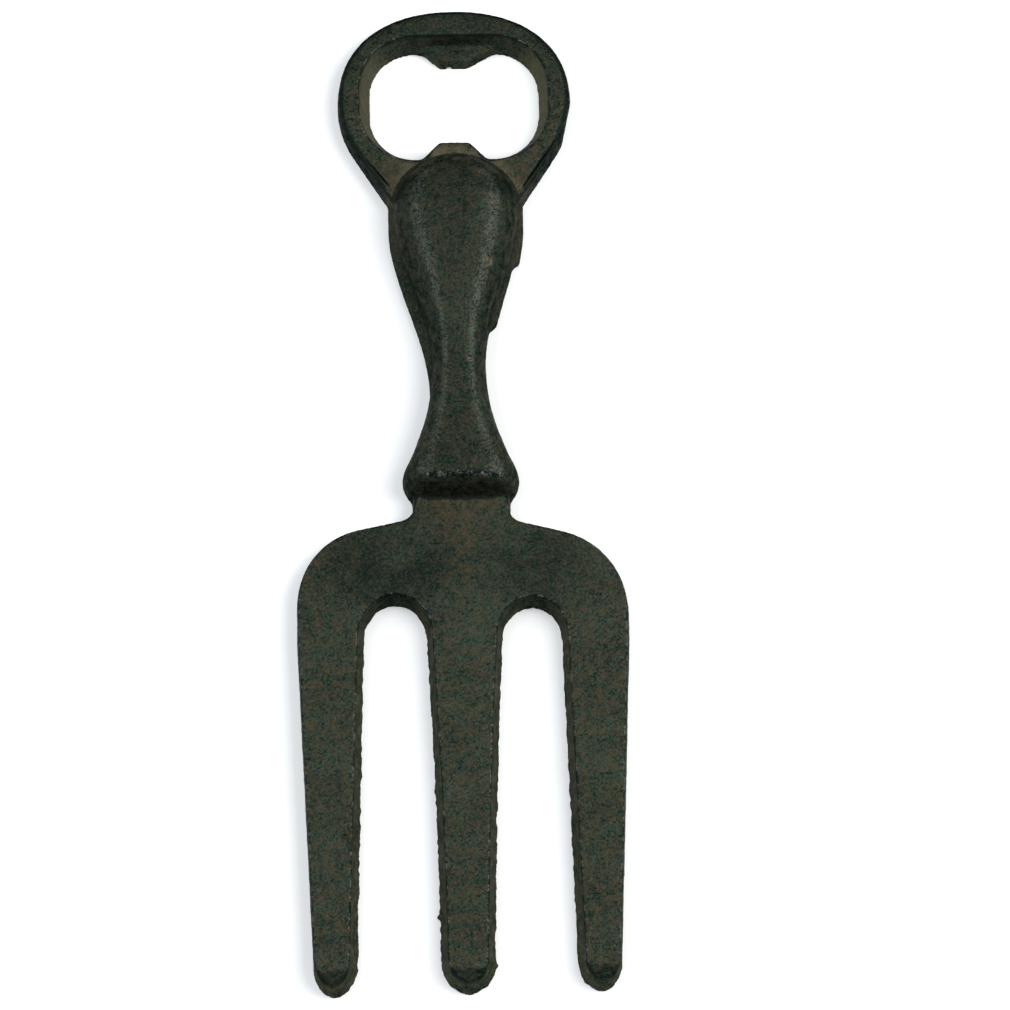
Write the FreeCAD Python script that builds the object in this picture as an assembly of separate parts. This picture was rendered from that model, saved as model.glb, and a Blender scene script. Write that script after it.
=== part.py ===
"""Cap-lifting garden fork: a flat-backed iron casting shaped like a hand fork, with a bottle opener.

The whole object is one casting. Each form of it is its own solid here, and neighbours meet face to face.
Lengths are millimetres. +X runs across the fork, +Y from the tines to the opener, +Z up from the flat back.
The origin is the middle of the back: halfway along, on the centre line, at the face that lies on a table.
"""

import FreeCAD
import Part

import math
import os

# Plate: the flat iron that the opener ring, the crown and the tines are cast in
plate_thickness = 5.0
outer_draft = 0.4          # how far an outer wall leans in from the back to the face

# Tines
tine_length = 61.35        # from the middle of the slots' round ends to the middle tine's point
left_tine_extra = 0.3      # the left tine's point lies this far past it
right_tine_short = 0.2     # and the right tine's this far before it
tip_length = 5.2           # the pointed end of each tine
tip_draft = 1.35           # lean of the slot walls at the points
middle_tip_half = 4.7      # half width of the middle tine where its point starts, at the back
middle_tip_shift = 0.15    # the middle tine's point lies this far right of the centre line
middle_waist = 0.3         # how far the sides of the middle tine bow inwards
outer_tip_inner = 18.5     # inner edge of an outer tine where its point starts
outer_tip_outer = 26.1     # outer edge of an outer tine at the same place
outer_point_shift = 0.3    # the outer tines' points lie this far outside their middles

# Slots between the tines: the two aren't quite alike
left_slot_centre = 11.7    # from the centre line
left_slot_radius = 5.35    # half the slot's width, at the back
left_slot_rise = 6.4      # height of its round end
right_slot_centre = 11.85
right_slot_radius = 5.05
right_slot_rise = 5.7
slot_draft = 1.05          # lean of the slot walls at the roots of the tines

# Crown: the shouldered plate that carries the tines
crown_half_width = 28.7
crown_length = 24.6       # from the slots' round ends to the handle
left_shoulder_radius = 13.5
left_shoulder_slope = 11.4  # degrees that the top of the shoulder falls towards its side
left_shoulder_rise = 6.15  # centre of the shoulder's round corner, above the slots' round ends
right_shoulder_radius = 14.9
right_shoulder_slope = 14.2
right_shoulder_rise = 4.25
neck_half_width = 8.6
neck_fillet = 2.2

# Handle: a pear-shaped grip, half round above a flat back
handle_length = 52.6       # from the crown to the widest part of the bulb
bulb_half_width = 11.1
bulb_height = 13.0
waist_half_width = 4.8
waist_height = 9.6
waist_distance = 25.2      # from the crown to the narrowest part
flare_half_width = 10.2
flare_height = 11.6
flare_distance = 3.6       # from the crown to the widest part of the flare
section_power = 2.7        # 2 is an ellipse; more gives a flatter crest and steeper sides
nose_lap = 0.6             # how far the nose of the bulb laps past the window's edge, onto the lip
nose_fullness = 0.998      # the last section of the nose, as a share of its length
head_offset = -0.35        # the handle leans, so that the opener lies this far off the centre line

# Opener ring
ring_half_width = 20.9
ring_arch = 17.2           # height of the arch above the ring's widest line
ring_power = 2.2           # 2 is an ellipse; more gives fuller corners
ring_cheek_radius = 18.0
ring_flank_angle = 32.5    # degrees between the lower flanks and the centre line
ring_top_rim = 7.2         # iron above the window, at the back
bulb_below_web = 0.6       # the bulb is widest this far below the point where the flanks meet it
gate_flat_depth = 0.5      # the gate was ground off the right cheek, down to a flat
gate_flat_angle = 12.0     # degrees below level that the flat faces
window_half_width = 14.95  # at the back; a crimped crown cap is about 28.7 across
window_height = 19.8
window_corner = 7.9
window_draft = 1.9

# Lobe that bears on the crown of the cap, at the far side of the window
lobe_reach = 2.7
lobe_tip_half = 2.6
lobe_root_left = 5.7
lobe_root_right = 7.3
lobe_thickness = 2.5
lobe_draft = 0.4
lobe_blend = 3.4           # fillet where the lobe runs out along the window's edge

# Lip that hooks under the rim of the cap, at the handle's side of the window
lip_reach = 3.3            # from the window's edge at the face to the lip's edge
lip_tip_half = 2.6
lip_root_half = 6.3
lip_draft = 0.3
lip_edge_thickness = 1.5   # the lip is undercut, so that its edge is this thick
lip_blend = 1.5

# Fins of iron left along the parting line beside the handle
fin_thickness = 2.2
fin_half_width = 12.0      # outer edge beside the bulb
fin_waist_half_width = 5.2
fin_waist_distance = 19.8  # from the crown to the place where the fins run out
fin_straight = 2.5         # length below the web where the fins run straight
fin_rise = 2.2             # how far the fins run up the ring's flanks above the web
fin_break_upper = 9.5      # the right fin is whole down to this distance below the web
fin_break_lower = 19.9     # and is gone past this distance
fin_break_upper_left = 0.1  # what is left outside the handle just under the upper break
fin_break_lower_left = 1.0  # and just above the lower break
fin_break_radius = 2.0

BEYOND = 50.0              # a length that clears the part, for cutting tools

# Places along the part, from the points of the tines upwards, and then centred
ring_flank = math.radians(ring_flank_angle)
flank_start_half = ring_half_width - ring_cheek_radius * (1 - math.cos(ring_flank))
flank_drop = (flank_start_half - bulb_half_width) / math.tan(ring_flank)
ring_length = ring_arch + ring_cheek_radius * math.sin(ring_flank) + flank_drop
overall_length = left_tine_extra + tine_length + crown_length + handle_length + bulb_below_web + ring_length
y_tip = left_tine_extra - overall_length / 2
y_slot = y_tip + tine_length
y_crown = y_slot + crown_length
y_waist = y_crown + waist_distance
y_flare = y_crown + flare_distance
y_bulb = y_crown + handle_length
y_web = y_bulb + bulb_below_web
y_top = y_web + ring_length
y_wide = y_top - ring_arch
y_window_top = y_top - ring_top_rim
y_window_bottom = y_window_top - window_height
y_nose = y_window_bottom - window_draft + nose_lap


def point(x, y, z=0.0):
    return FreeCAD.Vector(x, y, z)


def straight(start, end):
    return Part.LineSegment(start, end).toShape()


def arc(start, middle, end):
    return Part.Arc(start, middle, end).toShape()


def arc_about(centre, radius, first, last):
    """Arc round a centre, from one angle to another, in degrees."""
    at = [math.radians(first + (last - first) * share) for share in (0, 0.5, 1)]
    return arc(*[centre + point(radius * math.cos(a), radius * math.sin(a)) for a in at])


def mirrored(shape):
    """The same shape on the other side of the centre line."""
    return shape.mirror(point(0, 0), point(1, 0))


def between(lower, upper):
    """Solid with straight walls between two outlines that have the same edges in the same order."""
    return Part.makeLoft([Part.Wire(lower), Part.Wire(upper)], True, True)


def slab(low, high):
    """Box from its lowest to its highest corner."""
    return Part.makeBox(high.x - low.x, high.y - low.y, high.z - low.z, low)


def lifted(edges, height):
    for edge in edges:
        edge.translate(point(0, 0, height))
    return edges


def only_solid(shape):
    """The one solid that a cut leaves, and an error if it left several."""
    if len(shape.Solids) != 1:
        raise ValueError("a cut left %d solids where the casting has one" % len(shape.Solids))
    return shape.Solids[0]


def curve_through(points, first_tangent, last_tangent):
    """Smooth edge through the points, with the directions it has at its two ends."""
    curve = Part.BSplineCurve()
    curve.interpolate(Points=points, InitialTangent=first_tangent, FinalTangent=last_tangent, Scale=False)
    return curve.toShape()


def superellipse_arch(half, rise, power, steps):
    """Points of an arch from its right foot over the top to its left foot, centred on the origin."""
    points = []
    for step in range(steps + 1):
        angle = math.pi * step / steps
        c, s = math.cos(angle), math.sin(angle)
        points.append((math.copysign(half * abs(c) ** (2 / power), c), rise * abs(s) ** (2 / power)))
    points[0], points[-1] = (half, 0.0), (-half, 0.0)
    return points


def half_ellipse(centre_x, centre_y, half, rise):
    """Upper half of an ellipse, from its right end to its left end."""
    centre, top = point(centre_x, centre_y), point(centre_x, centre_y + rise)
    if half >= rise:
        return Part.Ellipse(point(centre_x + half, centre_y), top, centre).toShape(0, math.pi)
    return Part.Ellipse(top, point(centre_x - half, centre_y), centre).toShape(-math.pi / 2, math.pi / 2)


def ring_outline(inset):
    """Egg-shaped outline of the ring, drawn in by inset, ending in a straight foot on the handle."""
    half, arch, cheek = ring_half_width - inset, ring_arch - inset, ring_cheek_radius - inset
    cheek_centre = ring_half_width - ring_cheek_radius
    flank_x = cheek_centre + cheek * math.cos(ring_flank)
    flank_y = y_wide - cheek * math.sin(ring_flank)
    foot_x = flank_x - (flank_y - y_web) * math.tan(ring_flank)
    crest = [point(x, y_wide + y) for x, y in superellipse_arch(half, arch, ring_power, 20)]
    return [
        straight(point(-foot_x, y_web), point(foot_x, y_web)),
        straight(point(foot_x, y_web), point(flank_x, flank_y)),
        arc_about(point(cheek_centre, y_wide), cheek, -ring_flank_angle, 0),
        curve_through(crest, point(0, 1), point(0, -1)),
        arc_about(point(-cheek_centre, y_wide), cheek, 180, 180 + ring_flank_angle),
        straight(point(-flank_x, flank_y), point(-foot_x, y_web)),
    ]


def window_outline(grow):
    """Rounded oblong of the window, grown outwards by grow."""
    radius = window_corner + grow
    right = window_half_width - window_corner
    top, bottom = y_window_top - window_corner, y_window_bottom + window_corner
    corners = [(right, top, 0), (-right, top, 90), (-right, bottom, 180), (right, bottom, 270)]
    edges = []
    for x, y, angle in corners:
        edges.append(arc_about(point(x, y), radius, angle, angle + 90))
    sides = []
    for first, second in zip(edges, edges[1:] + edges[:1]):
        sides += [first, straight(first.Vertexes[-1].Point, second.Vertexes[0].Point)]
    return sides


def window_solid():
    """The space of the window, wider at the face than at the back, and running past both."""
    lean = window_draft / plate_thickness
    past = 1.0
    low = window_outline(-lean * past)
    high = window_outline(window_draft + lean * past)
    return between(lifted(low, -past), lifted(high, plate_thickness + past))


def gate_flat_tool():
    """Block outside the flat that grinding left on the right cheek."""
    distance = ring_cheek_radius - gate_flat_depth
    block = slab(point(distance, -BEYOND, -BEYOND), point(distance + BEYOND, BEYOND, BEYOND))
    block.rotate(point(0, 0), point(0, 0, 1), -gate_flat_angle)
    block.translate(point(ring_half_width - ring_cheek_radius, y_wide))
    return block


def ring_body():
    plate = between(ring_outline(0), lifted(ring_outline(outer_draft), plate_thickness))
    return only_solid(plate.cut(gate_flat_tool()).cut(window_solid()))


def tongue_flank(root_y, reach, root_half, tip_half, blend, inset):
    """Right flank of a tongue from its tip to behind its root, with a hollow fillet at the root."""
    way = math.copysign(1, reach)
    root = root_half - inset
    lean = math.atan2(root_half - tip_half, abs(reach))
    turn = math.pi / 2 - lean
    run = blend * math.tan(turn / 2)
    foot = root + run
    flank_end = point(root - run * math.sin(lean), root_y + way * run * math.cos(lean))
    middle_x = foot - blend * math.sin(turn / 2)
    middle_y = root_y + way * blend * (1 - math.cos(turn / 2))
    return [
        straight(point(tip_half - inset, root_y + reach - way * inset), flank_end),
        arc(flank_end, point(middle_x, middle_y), point(foot, root_y)),
        straight(point(foot, root_y), point(foot, root_y - way * blend)),
    ]


def tongue(root_y, reach, left_root, right_root, tip_half, blend, inset):
    """Outline of a tongue that stands into the window from root_y, towards +Y for a positive reach."""
    right = tongue_flank(root_y, reach, right_root, tip_half, blend, inset)
    left = tongue_flank(root_y, reach, left_root, tip_half, blend, inset)
    left = [mirrored(edge) for edge in reversed(left)]
    tip = straight(left[-1].Vertexes[0].Point, right[0].Vertexes[0].Point)
    back = straight(right[-1].Vertexes[-1].Point, left[0].Vertexes[-1].Point)
    return [tip] + right + [back] + left


def lobe_body(ring):
    """Thin tongue at the top of the window, cut to the window's sloping wall."""
    sizes = (y_window_top, -lobe_reach, lobe_root_left, lobe_root_right, lobe_tip_half, lobe_blend)
    solid = between(tongue(*sizes, 0), lifted(tongue(*sizes, lobe_draft), lobe_thickness))
    return only_solid(solid.cut(ring))


def lip_body(ring):
    """Tongue at the handle's side, level with the face and undercut so that only its edge is thin."""
    root_y = y_window_bottom - window_draft
    half = lip_tip_half + lip_draft
    sizes = (root_y, lip_reach + lip_draft, lip_root_half, lip_root_half, half, lip_blend)
    solid = between(tongue(*sizes, 0), lifted(tongue(*sizes, lip_draft), plate_thickness))
    run, rise = root_y + lip_reach - y_window_bottom, plate_thickness - lip_edge_thickness
    far = point(0, y_window_bottom + 2 * run, 2 * rise)
    near, low, below = point(0, y_window_bottom), point(0, y_window_bottom, -rise), point(0, far.y, -rise)
    corners = [near, far, below, low, near]
    wedge = Part.Wire([straight(first, second) for first, second in zip(corners, corners[1:])])
    under = Part.Face(wedge).extrude(point(2 * BEYOND, 0))
    under.translate(point(-BEYOND, 0))
    return only_solid(solid.cut(under).cut(ring))


def ease(share):
    """Smooth step from 0 to 1 with level ends."""
    return share * share * (3 - 2 * share)


def handle_section_size(y):
    """Half width and crest height of the handle at a place along it."""
    if y >= y_bulb:
        round_off = math.sqrt(max(0.0, 1 - ((y - y_bulb) / (y_nose - y_bulb)) ** 2))
        return bulb_half_width * round_off, plate_thickness + (bulb_height - plate_thickness) * round_off
    if y >= y_waist:
        share = ease((y - y_waist) / (y_bulb - y_waist))
        return (waist_half_width + (bulb_half_width - waist_half_width) * share,
                waist_height + (bulb_height - waist_height) * share)
    if y >= y_flare:
        share = (y_waist - y) / (y_waist - y_flare)
        # nearly a parabola, eased off just before the flare's widest place
        growth = 1.22 * share ** 2.25 - 0.22 * share ** 8
        return (waist_half_width + (flare_half_width - waist_half_width) * growth,
                waist_height + (flare_height - waist_height) * ease(share))
    share = (y_flare - y) / (y_flare - y_crown)
    return (neck_half_width + (flare_half_width - neck_half_width) * (1 - share ** 2),
            plate_thickness + (flare_height - plate_thickness) * (1 - share ** 2.6))


def handle_centre(y):
    """How far the handle's middle lies off the centre line at a place along it."""
    return head_offset * min(1.0, (y - y_crown) / (y_web - y_crown))


def handle_section(y):
    """Closed outline across the handle: flat at the back, a superellipse above."""
    half, height = handle_section_size(y)
    crest = [point(handle_centre(y) + x, y, z) for x, z in superellipse_arch(half, height, section_power, 16)]
    return Part.Wire([curve_through(crest, point(0, 0, 1), point(0, 0, -1)), straight(crest[-1], crest[0])])


def handle_body():
    """Loft through the sections, with its nose cut level where it lies on the ring and the lip."""
    end_steps, flare_steps, bulb_steps, nose_steps = 4, 6, 6, 6
    end = y_flare - y_crown
    places = [y_flare - end * math.sin(math.pi / 2 * (1 - k / end_steps)) for k in range(end_steps)]
    places += [y_flare + (y_waist - y_flare) * k / flare_steps for k in range(flare_steps)]
    places += [y_waist + (y_bulb - y_waist) * k / bulb_steps for k in range(bulb_steps)]
    nose = (y_nose - y_bulb) * nose_fullness
    places += [y_bulb + nose * math.sin(math.pi / 2 * k / nose_steps) for k in range(nose_steps + 1)]
    solid = Part.makeLoft([handle_section(y) for y in places], True, False)
    lap = slab(point(-BEYOND, y_web, -1), point(BEYOND, y_nose + BEYOND, plate_thickness))
    return only_solid(solid.cut(lap))


def shoulder(side, radius, slope_degrees, rise, inset):
    """Edges of one shoulder from the neck to the root of the outer tine, and where they end."""
    slope = math.radians(slope_degrees)
    centre = point(crown_half_width - radius, y_slot + rise)
    round_radius = radius - inset
    top = centre + point(round_radius * math.sin(slope), round_radius * math.cos(slope))
    neck, fillet = neck_half_width - inset, neck_fillet + inset
    # the fillet touches the neck's side and the falling line of the shoulder
    fillet_x = neck + fillet
    fillet_y = top.y + (top.x - fillet_x) * math.tan(slope) + fillet / math.cos(slope)
    fillet_arc = arc_about(point(fillet_x, fillet_y), fillet, 180, 270 - slope_degrees)
    side_end = centre + point(round_radius, 0)
    root = point(crown_half_width - inset, y_slot)
    edges = [
        straight(point(neck, y_crown), point(neck, fillet_y)),
        fillet_arc,
        straight(fillet_arc.Vertexes[-1].Point, top),
        arc_about(centre, round_radius, 90 - slope_degrees, 0),
        straight(side_end, root),
    ]
    return edges if side > 0 else [mirrored(edge) for edge in reversed(edges)]


def crown_outline(inset, slot_inset):
    """Outline of the crown: a neck on the handle, two shoulders, and the round ends of two slots."""
    right = shoulder(1, right_shoulder_radius, right_shoulder_slope, right_shoulder_rise, inset)
    left = shoulder(-1, left_shoulder_radius, left_shoulder_slope, left_shoulder_rise, inset)
    side, neck = crown_half_width - inset, neck_half_width - inset
    right_half, left_half = right_slot_radius + slot_inset, left_slot_radius + slot_inset
    right_end = half_ellipse(right_slot_centre, y_slot, right_half, right_slot_rise + slot_inset)
    left_end = half_ellipse(-left_slot_centre, y_slot, left_half, left_slot_rise + slot_inset)
    return [straight(point(-neck, y_crown), point(neck, y_crown))] + right + [
        straight(point(side, y_slot), point(right_slot_centre + right_half, y_slot)),
        right_end,
        straight(right_end.Vertexes[-1].Point, left_end.Vertexes[0].Point),
        left_end,
        straight(point(-left_slot_centre - left_half, y_slot), point(-side, y_slot)),
    ] + left


def crown_body():
    return between(crown_outline(0, 0), lifted(crown_outline(outer_draft, slot_draft), plate_thickness))


def tine_outline(root, end, point_at, bow):
    """Outline of one tine, tapering from root to end and then rounding in to a point.

    root and end are pairs of X at the left and right side. bow draws both sides in at mid length.
    """
    y_end = y_tip + tip_length
    sides, flanks = [], []
    for x_root, x_end, way in ((root[0], end[0], 1), (root[1], end[1], -1)):
        start, stop = point(x_root, y_slot), point(x_end, y_end)
        bowed = point((x_root + x_end) / 2 + way * bow, (y_slot + y_end) / 2)
        sides.append(arc(start, bowed, stop) if bow else straight(start, stop))
        belly = point(x_end + (point_at.x - x_end) * 0.33, y_end + (point_at.y - y_end) * 0.69)
        flanks.append(arc(stop, belly, point_at))
    top = straight(point(root[1], y_slot), point(root[0], y_slot))
    return [top, sides[0], flanks[0], flanks[1], sides[1]]


def tine_body(root, end, root_drafts, end_drafts, point_at, bow=0.0):
    """Tine whose left and right walls lean in by the pairs of drafts at its root and at its end."""
    low = tine_outline(root, end, point_at, bow)
    face_root = (root[0] + root_drafts[0], root[1] - root_drafts[1])
    face_end = (end[0] + end_drafts[0], end[1] - end_drafts[1])
    high = tine_outline(face_root, face_end, point_at + point(0, tip_draft), bow)
    return between(low, lifted(high, plate_thickness))


def middle_tine_body():
    root = (left_slot_radius - left_slot_centre, right_slot_centre - right_slot_radius)
    end = (middle_tip_shift - middle_tip_half, middle_tip_shift + middle_tip_half)
    drafts = (slot_draft, slot_draft), (tip_draft, tip_draft)
    return tine_body(root, end, *drafts, point(middle_tip_shift, y_tip), middle_waist)


def outer_tine_body(slot_side, point_y):
    """Outer tine drawn on the right, from its slot's outer wall to the crown's side."""
    end = (outer_tip_inner, outer_tip_outer)
    point_x = (outer_tip_inner + outer_tip_outer) / 2 + outer_point_shift
    drafts = (slot_draft, outer_draft), (tip_draft, outer_draft)
    return tine_body((slot_side, crown_half_width), end, *drafts, point(point_x, point_y))


def fin_edge_half(y):
    """Half width over the fins at a place beside the handle."""
    y_straight, y_end = y_web - fin_straight, y_crown + fin_waist_distance
    share = ease(min(1.0, max(0.0, (y - y_end) / (y_straight - y_end))))
    return fin_waist_half_width + (fin_half_width - fin_waist_half_width) * share


def fin_plate(side):
    """Plate whose outer edge is one fin's, reaching in past the handle's wall."""
    y_end, y_start = y_crown + fin_waist_distance, y_web + fin_rise
    steps = 8
    places = [y_end + (y_web - y_end) * k / steps for k in range(steps + 1)]
    edge_points = [point(handle_centre(y) + side * fin_edge_half(y), y) for y in places]
    last = point(edge_points[-1].x, y_start)
    outline = Part.Wire([
        curve_through(edge_points, point(0, 1), point(0, 1)),
        straight(edge_points[-1], last),
        straight(last, point(0, y_start)),
        straight(point(0, y_start), point(0, y_end)),
        straight(point(0, y_end), edge_points[0]),
    ])
    return Part.Face(outline).extrude(point(0, 0, fin_thickness))


def fin_body(side, ring, handle):
    return only_solid(fin_plate(side).cut(ring).cut(handle))


def broken_fin_tool():
    """What was knocked and ground off the right fin: all outside a line between the two breaks."""
    y_upper, y_lower = y_web - fin_break_upper, y_web - fin_break_lower
    upper_x = handle_centre(y_upper) + handle_section_size(y_upper)[0] + fin_break_upper_left
    lower_x = handle_centre(y_lower) + handle_section_size(y_lower)[0] + fin_break_lower_left
    bite = fin_break_radius
    upper_bite = arc_about(point(upper_x + bite, y_upper - bite), bite, 90, 180)
    lower_bite = arc_about(point(lower_x - bite, y_lower), bite, 0, -90)
    outline = [
        straight(point(BEYOND, y_upper), point(upper_x + bite, y_upper)),
        upper_bite,
        straight(point(upper_x, y_upper - bite), point(lower_x, y_lower)),
        lower_bite,
        straight(point(lower_x - bite, y_lower - bite), point(0, y_lower - bite)),
        straight(point(0, y_lower - bite), point(0, y_tip)),
        straight(point(0, y_tip), point(BEYOND, y_tip)),
        straight(point(BEYOND, y_tip), point(BEYOND, y_upper)),
    ]
    return Part.Face(Part.Wire(lifted(outline, -1))).extrude(point(0, 0, fin_thickness + 2))


def on_head(shape):
    """Move something drawn on the centre line to the leaning handle's head."""
    shape.translate(point(head_offset, 0))
    return shape


def main():
    straight_ring = ring_body()
    lobe, lip = on_head(lobe_body(straight_ring)), on_head(lip_body(straight_ring))
    ring = on_head(straight_ring)
    handle = handle_body()
    left_tine = outer_tine_body(left_slot_centre + left_slot_radius, y_tip - left_tine_extra)
    pieces = {
        "opener_ring": ring,
        "bearing_lobe": lobe,
        "cap_lip": lip,
        "handle": handle,
        "fork_crown": crown_body(),
        "tine_left": mirrored(left_tine),
        "tine_middle": middle_tine_body(),
        "tine_right": outer_tine_body(right_slot_centre + right_slot_radius, y_tip + right_tine_short),
        "parting_fin_left": fin_body(-1, ring, handle),
        "parting_fin_right": only_solid(fin_body(1, ring, handle).cut(broken_fin_tool())),
    }
    os.makedirs("parts", exist_ok=True)
    for name, shape in pieces.items():
        solid = only_solid(shape)
        solid.exportStep("parts/%s.step" % name)
        box = solid.optimalBoundingBox(True, False)
        print("%-18s %8.1f mm3  valid %s  X %.2f..%.2f  Y %.2f..%.2f  Z %.2f..%.2f" % (
            name, solid.Volume, solid.isValid(), box.XMin, box.XMax, box.YMin, box.YMax, box.ZMin, box.ZMax))


main()
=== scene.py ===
import math

import bpy
import numpy as np
from bpy.props import FloatProperty, FloatVectorProperty, IntProperty, PointerProperty
from mathutils import Matrix, Vector
from mathutils.kdtree import KDTree


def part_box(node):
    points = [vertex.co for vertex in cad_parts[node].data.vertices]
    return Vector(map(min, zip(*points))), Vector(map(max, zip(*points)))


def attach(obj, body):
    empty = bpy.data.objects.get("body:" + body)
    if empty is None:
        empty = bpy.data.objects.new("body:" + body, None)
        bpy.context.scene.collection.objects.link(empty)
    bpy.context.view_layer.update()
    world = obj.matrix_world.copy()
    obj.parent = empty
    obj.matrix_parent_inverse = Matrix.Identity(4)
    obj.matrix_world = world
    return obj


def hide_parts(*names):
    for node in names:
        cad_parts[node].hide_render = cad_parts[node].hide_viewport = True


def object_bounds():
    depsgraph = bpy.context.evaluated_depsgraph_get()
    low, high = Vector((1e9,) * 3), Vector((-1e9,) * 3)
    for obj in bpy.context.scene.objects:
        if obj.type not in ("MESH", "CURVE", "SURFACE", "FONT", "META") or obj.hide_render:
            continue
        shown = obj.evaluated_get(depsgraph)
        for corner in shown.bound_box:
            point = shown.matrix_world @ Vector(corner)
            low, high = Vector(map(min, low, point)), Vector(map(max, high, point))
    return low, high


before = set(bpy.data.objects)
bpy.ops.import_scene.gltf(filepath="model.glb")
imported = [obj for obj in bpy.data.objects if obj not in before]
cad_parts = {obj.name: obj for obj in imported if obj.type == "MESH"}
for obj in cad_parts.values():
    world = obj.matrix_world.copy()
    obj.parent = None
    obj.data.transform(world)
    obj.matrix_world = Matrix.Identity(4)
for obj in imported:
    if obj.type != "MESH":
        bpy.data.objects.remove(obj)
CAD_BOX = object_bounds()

bl_info = {
    "name": "Cast-iron fork opener",
    "version": (1, 0, 0),
    "blender": (4, 5, 0),
    "location": "View3D > Sidebar > Casting",
    "description": "Gives a sand-cast fork opener its soft edges, grain, flash and oiled iron finish",
    "category": "Object",
}

MM = 0.001
HEAD = ("opener_ring", "bearing_lobe", "cap_lip")
TINES = ("tine_left", "tine_middle", "tine_right")
FINS = ("parting_fin_left", "parting_fin_right")
FORMS = HEAD + ("handle", "fork_crown") + TINES + FINS

# Places on the casting, taken from its forms
LOW, HIGH = CAD_BOX
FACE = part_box("opener_ring")[1].z          # the flat faces of ring, crown and tines
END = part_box("fork_crown")[1].y            # where the handle ends on the crown
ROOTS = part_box("fork_crown")[0].y          # where the tines begin
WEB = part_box("opener_ring")[0].y           # where the ring's flanks meet the handle
HEAD_X = (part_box("opener_ring")[0].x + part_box("opener_ring")[1].x) / 2
# Middle of the cap window, and the gap between the handle's nose and the room cut for it
WINDOW_Y = (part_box("cap_lip")[1].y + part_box("bearing_lobe")[0].y) / 2
NOSE_GAP = 0.5 * MM
# Gas holes on the handle's right shoulder: place, half sizes in mm and turn
GAS_HOLES = ((5.2 * MM, WEB - 12.0 * MM, (1.0, 0.75, 0.42), 0.5),
             (1.8 * MM, WEB - 29.5 * MM, (0.65, 0.45, 0.3), 0.2))
# The camera looks at this point and is then turned aside by the second length
LOOK_AT = Vector((0, -2.45 * MM, 0))
LOOK_ASIDE = 7.565 * MM
LENS_MM = 147.57


def from_hex(code):
    """Linear colour of an sRGB hex value."""
    values = [int(code[i:i + 2], 16) / 255 for i in (1, 3, 5)]
    return tuple(v / 12.92 if v <= 0.04045 else ((v + 0.055) / 1.055) ** 2.4 for v in values)


def colour(name, description, code):
    return FloatVectorProperty(name=name, description=description, default=from_hex(code),
                               subtype="COLOR", size=3, min=0, max=1)


def length(name, description, millimetres):
    return FloatProperty(name=name, description=description, default=millimetres * MM,
                         subtype="DISTANCE", unit="LENGTH", precision=5)


# ---------------------------------------------------------------- working on meshes

def only(*chosen):
    """Selects these objects and nothing else, and makes the first one active."""
    if bpy.context.object and bpy.context.object.mode != "OBJECT":
        bpy.ops.object.mode_set(mode="OBJECT")
    bpy.ops.object.select_all(action="DESELECT")
    for item in chosen:
        item.select_set(True)
    bpy.context.view_layer.objects.active = chosen[0]


def copy_of(source, name):
    """Loose copy of an object, without the frame's marks or its materials."""
    only(source)
    bpy.ops.object.duplicate()
    made = bpy.context.view_layer.objects.active
    for key in [k for k in made.keys() if k.startswith("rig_")]:
        del made[key]
    made.parent = None
    made.name = made.data.name = name
    made.data.materials.clear()
    return made


def merge_doubles(item):
    """Joins the corners that the CAD mesh repeats at each face."""
    only(item)
    bpy.ops.object.mode_set(mode="EDIT")
    bpy.ops.mesh.select_all(action="SELECT")
    bpy.ops.mesh.remove_doubles(threshold=1e-6)
    bpy.ops.object.mode_set(mode="OBJECT")


def apply_modifier(item, kind, **settings):
    only(item)
    bpy.ops.object.modifier_add(type=kind)
    modifier = item.modifiers[-1]
    for key, value in settings.items():
        setattr(modifier, key, value)
    bpy.ops.object.modifier_apply(modifier=modifier.name)


def remove(item):
    mesh = item.data
    bpy.data.objects.remove(item)
    bpy.data.meshes.remove(mesh)


def block(low, high):
    """Box between two corners."""
    low, high = Vector(low), Vector(high)
    bpy.ops.object.select_all(action="DESELECT")
    bpy.ops.mesh.primitive_cube_add(size=1, location=(low + high) / 2, scale=high - low)
    made = bpy.context.object
    bpy.ops.object.transform_apply(location=True, rotation=True, scale=True)
    return made


def post(centre, radii, bottom, top):
    """Upright elliptical post."""
    bpy.ops.object.select_all(action="DESELECT")
    bpy.ops.mesh.primitive_cylinder_add(
        vertices=96, radius=1, depth=1, location=(centre[0], centre[1], (bottom + top) / 2))
    made = bpy.context.object
    made.scale = (radii[0], radii[1], top - bottom)
    bpy.ops.object.transform_apply(location=True, rotation=True, scale=True)
    return made


def pebble(centre, size, turn=0.0):
    """Small lumpy ball: a bead of metal to add or a nick to cut."""
    bpy.ops.object.select_all(action="DESELECT")
    bpy.ops.mesh.primitive_ico_sphere_add(subdivisions=3, radius=1, location=centre, rotation=(0, 0, turn))
    made = bpy.context.object
    made.scale = size
    bpy.ops.object.transform_apply(location=False, rotation=True, scale=True)
    apply_modifier(made, "DISPLACE", texture=noise_pattern(min(size) * 1.6, 1),
                   strength=min(size) * 0.7, mid_level=0.5)
    only(made)
    bpy.ops.object.transform_apply(location=True, rotation=True, scale=True)
    return made


def noise_pattern(size, depth):
    """Cloud pattern whose lumps are about this size."""
    pattern = bpy.data.textures.new("sand", "CLOUDS")
    pattern.noise_scale = size
    pattern.noise_depth = depth
    pattern.noise_basis = "ORIGINAL_PERLIN"
    return pattern


def carve(item, tool, operation):
    """Boolean of an object with a tool, which stays as it is."""
    apply_modifier(item, "BOOLEAN", operation=operation, object=tool, solver="MANIFOLD")


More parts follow.
